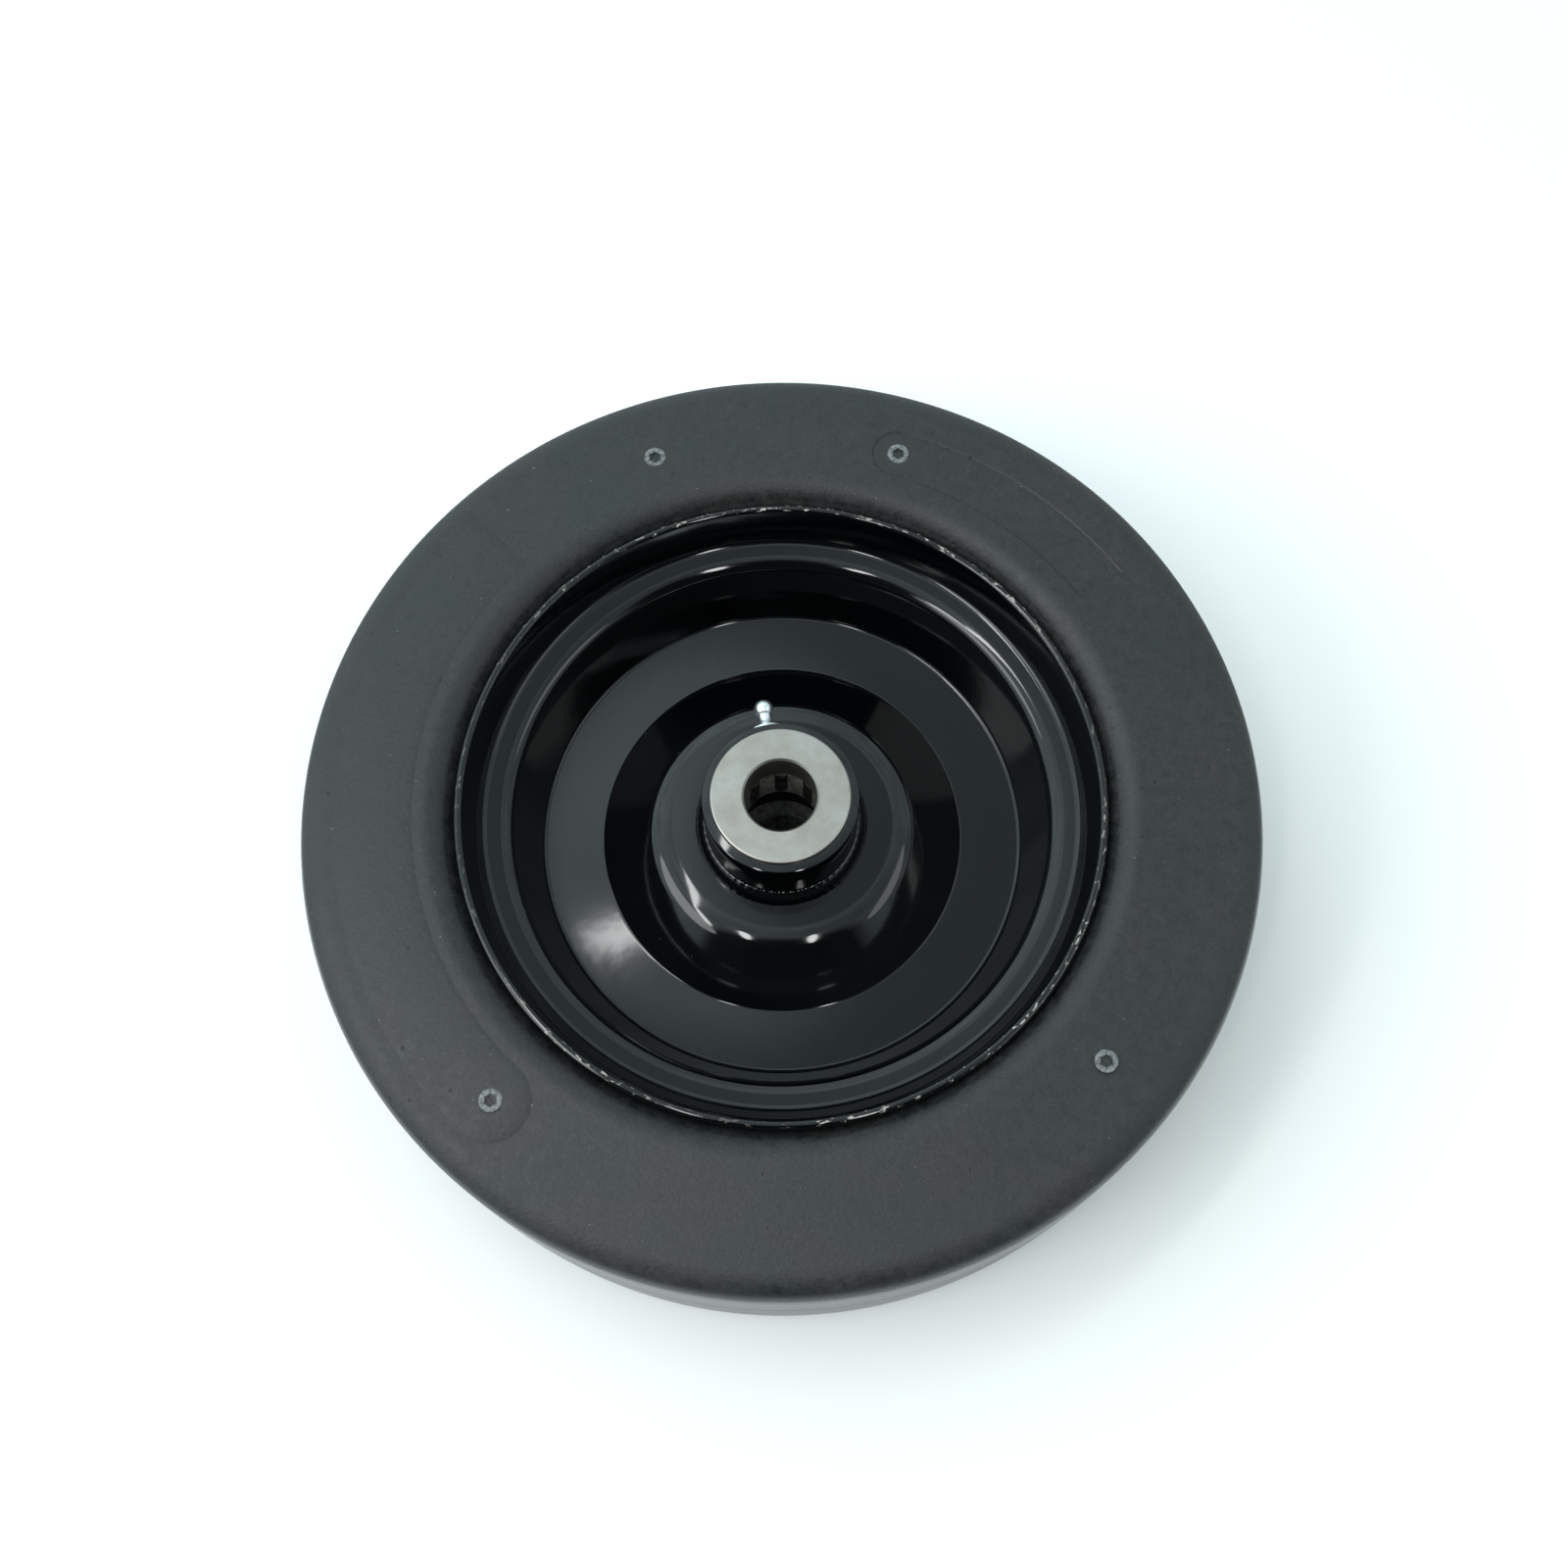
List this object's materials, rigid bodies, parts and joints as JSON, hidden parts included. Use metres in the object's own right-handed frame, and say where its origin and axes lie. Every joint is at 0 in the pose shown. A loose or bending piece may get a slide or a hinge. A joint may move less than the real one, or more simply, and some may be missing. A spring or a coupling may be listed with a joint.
{
  "type": "finish mower wheel",
  "caption": "Solid rubber gauge wheel on a two-piece pressed steel rim, with a greasable roller-bearing hub for a straight axle bolt.",
  "frame": {"origin": "centre of the wheel: on the spin axis, midway between the hub's two end faces", "axes": "the wheel lies flat as pictured: +Z is the spin axis and points out of the face with the grease fitting; +Y points to the picture's top, so the fitting leans 9 degrees from +Y towards -X"},
  "size_m": [0.254, 0.254, 0.0762],
  "materials": {
    "rubber": "moulded solid rubber, satin, charcoal",
    "rim_paint": "gloss black enamel on pressed steel",
    "bare_steel": "ground steel, light oil film",
    "zinc": "bright zinc plate",
    "bearing_steel": "hardened steel, oiled",
    "cage_nylon": "moulded nylon, matt, greased"
  },
  "bodies": {
    "wheel": {"tyre": "rubber", "rim_half_front": "rim_paint", "rim_half_rear": "rim_paint", "hub_tube": "rim_paint", "hub_weld_front": "rim_paint", "hub_weld_rear": "rim_paint", "end_bushing_front": "bare_steel", "end_bushing_rear": "bare_steel", "grease_fitting": "zinc", "grease_fitting_spring": "bearing_steel"},
    "bearing_cage_front": {"bearing_cage_front": "cage_nylon"},
    "bearing_roller_front_1": {"bearing_roller_front_1": "bearing_steel"},
    "bearing_roller_front_2": {"bearing_roller_front_2": "bearing_steel"},
    "bearing_roller_front_3": {"bearing_roller_front_3": "bearing_steel"},
    "bearing_roller_front_4": {"bearing_roller_front_4": "bearing_steel"},
    "bearing_roller_front_5": {"bearing_roller_front_5": "bearing_steel"},
    "bearing_roller_front_6": {"bearing_roller_front_6": "bearing_steel"},
    "bearing_roller_front_7": {"bearing_roller_front_7": "bearing_steel"},
    "bearing_roller_front_8": {"bearing_roller_front_8": "bearing_steel"},
    "bearing_cage_rear": {"bearing_cage_rear": "cage_nylon"},
    "bearing_roller_rear_1": {"bearing_roller_rear_1": "bearing_steel"},
    "bearing_roller_rear_2": {"bearing_roller_rear_2": "bearing_steel"},
    "bearing_roller_rear_3": {"bearing_roller_rear_3": "bearing_steel"},
    "bearing_roller_rear_4": {"bearing_roller_rear_4": "bearing_steel"},
    "bearing_roller_rear_5": {"bearing_roller_rear_5": "bearing_steel"},
    "bearing_roller_rear_6": {"bearing_roller_rear_6": "bearing_steel"},
    "bearing_roller_rear_7": {"bearing_roller_rear_7": "bearing_steel"},
    "bearing_roller_rear_8": {"bearing_roller_rear_8": "bearing_steel"},
    "grease_fitting_ball": {"grease_fitting_ball": "bearing_steel"}
  },
  "joints": [
    {"name": "bearing_front_spin", "type": "hinge", "parent": "wheel", "child": "bearing_cage_front", "pos_m": [0, 0, 0.0185], "axis": [0, 0, 1], "continuous": true},
    {"name": "bearing_roller_front_1_spin", "type": "hinge", "parent": "bearing_cage_front", "child": "bearing_roller_front_1", "pos_m": [0.01275, 0, 0.0185], "axis": [0, 0, 1], "continuous": true},
    {"name": "bearing_roller_front_2_spin", "type": "hinge", "parent": "bearing_cage_front", "child": "bearing_roller_front_2", "pos_m": [0.00902, 0.00902, 0.0185], "axis": [0, 0, 1], "continuous": true},
    {"name": "bearing_roller_front_3_spin", "type": "hinge", "parent": "bearing_cage_front", "child": "bearing_roller_front_3", "pos_m": [0, 0.01275, 0.0185], "axis": [0, 0, 1], "continuous": true},
    {"name": "bearing_roller_front_4_spin", "type": "hinge", "parent": "bearing_cage_front", "child": "bearing_roller_front_4", "pos_m": [-0.00902, 0.00902, 0.0185], "axis": [0, 0, 1], "continuous": true},
    {"name": "bearing_roller_front_5_spin", "type": "hinge", "parent": "bearing_cage_front", "child": "bearing_roller_front_5", "pos_m": [-0.01275, 0, 0.0185], "axis": [0, 0, 1], "continuous": true},
    {"name": "bearing_roller_front_6_spin", "type": "hinge", "parent": "bearing_cage_front", "child": "bearing_roller_front_6", "pos_m": [-0.00902, -0.00902, 0.0185], "axis": [0, 0, 1], "continuous": true},
    {"name": "bearing_roller_front_7_spin", "type": "hinge", "parent": "bearing_cage_front", "child": "bearing_roller_front_7", "pos_m": [0, -0.01275, 0.0185], "axis": [0, 0, 1], "continuous": true},
    {"name": "bearing_roller_front_8_spin", "type": "hinge", "parent": "bearing_cage_front", "child": "bearing_roller_front_8", "pos_m": [0.00902, -0.00902, 0.0185], "axis": [0, 0, 1], "continuous": true},
    {"name": "bearing_rear_spin", "type": "hinge", "parent": "wheel", "child": "bearing_cage_rear", "pos_m": [0, 0, -0.0185], "axis": [0, 0, 1], "continuous": true},
    {"name": "bearing_roller_rear_1_spin", "type": "hinge", "parent": "bearing_cage_rear", "child": "bearing_roller_rear_1", "pos_m": [0.01275, 0, -0.0185], "axis": [0, 0, 1], "continuous": true},
    {"name": "bearing_roller_rear_2_spin", "type": "hinge", "parent": "bearing_cage_rear", "child": "bearing_roller_rear_2", "pos_m": [0.00902, -0.00902, -0.0185], "axis": [0, 0, 1], "continuous": true},
    {"name": "bearing_roller_rear_3_spin", "type": "hinge", "parent": "bearing_cage_rear", "child": "bearing_roller_rear_3", "pos_m": [0, -0.01275, -0.0185], "axis": [0, 0, 1], "continuous": true},
    {"name": "bearing_roller_rear_4_spin", "type": "hinge", "parent": "bearing_cage_rear", "child": "bearing_roller_rear_4", "pos_m": [-0.00902, -0.00902, -0.0185], "axis": [0, 0, 1], "continuous": true},
    {"name": "bearing_roller_rear_5_spin", "type": "hinge", "parent": "bearing_cage_rear", "child": "bearing_roller_rear_5", "pos_m": [-0.01275, 0, -0.0185], "axis": [0, 0, 1], "continuous": true},
    {"name": "bearing_roller_rear_6_spin", "type": "hinge", "parent": "bearing_cage_rear", "child": "bearing_roller_rear_6", "pos_m": [-0.00902, 0.00902, -0.0185], "axis": [0, 0, 1], "continuous": true},
    {"name": "bearing_roller_rear_7_spin", "type": "hinge", "parent": "bearing_cage_rear", "child": "bearing_roller_rear_7", "pos_m": [0, 0.01275, -0.0185], "axis": [0, 0, 1], "continuous": true},
    {"name": "bearing_roller_rear_8_spin", "type": "hinge", "parent": "bearing_cage_rear", "child": "bearing_roller_rear_8", "pos_m": [0.00902, 0.00902, -0.0185], "axis": [0, 0, 1], "continuous": true},
    {"name": "grease_fitting_ball_slide", "type": "slide", "parent": "wheel", "child": "grease_fitting_ball", "axis": [0.1564, -0.9877, 0], "range_m": [0, 0.0009], "stiffness_N_per_m": 300, "springref_m": -0.001, "deforming": ["grease_fitting_spring"]}
  ],
  "couplings": [
    {"joint": "bearing_roller_front_1_spin", "follows": "bearing_front_spin", "ratio": -5.1045},
    {"joint": "bearing_roller_front_2_spin", "follows": "bearing_front_spin", "ratio": -5.1045},
    {"joint": "bearing_roller_front_3_spin", "follows": "bearing_front_spin", "ratio": -5.1045},
    {"joint": "bearing_roller_front_4_spin", "follows": "bearing_front_spin", "ratio": -5.1045},
    {"joint": "bearing_roller_front_5_spin", "follows": "bearing_front_spin", "ratio": -5.1045},
    {"joint": "bearing_roller_front_6_spin", "follows": "bearing_front_spin", "ratio": -5.1045},
    {"joint": "bearing_roller_front_7_spin", "follows": "bearing_front_spin", "ratio": -5.1045},
    {"joint": "bearing_roller_front_8_spin", "follows": "bearing_front_spin", "ratio": -5.1045},
    {"joint": "bearing_roller_rear_1_spin", "follows": "bearing_rear_spin", "ratio": -5.1045},
    {"joint": "bearing_roller_rear_2_spin", "follows": "bearing_rear_spin", "ratio": -5.1045},
    {"joint": "bearing_roller_rear_3_spin", "follows": "bearing_rear_spin", "ratio": -5.1045},
    {"joint": "bearing_roller_rear_4_spin", "follows": "bearing_rear_spin", "ratio": -5.1045},
    {"joint": "bearing_roller_rear_5_spin", "follows": "bearing_rear_spin", "ratio": -5.1045},
    {"joint": "bearing_roller_rear_6_spin", "follows": "bearing_rear_spin", "ratio": -5.1045},
    {"joint": "bearing_roller_rear_7_spin", "follows": "bearing_rear_spin", "ratio": -5.1045},
    {"joint": "bearing_roller_rear_8_spin", "follows": "bearing_rear_spin", "ratio": -5.1045}
  ]
}
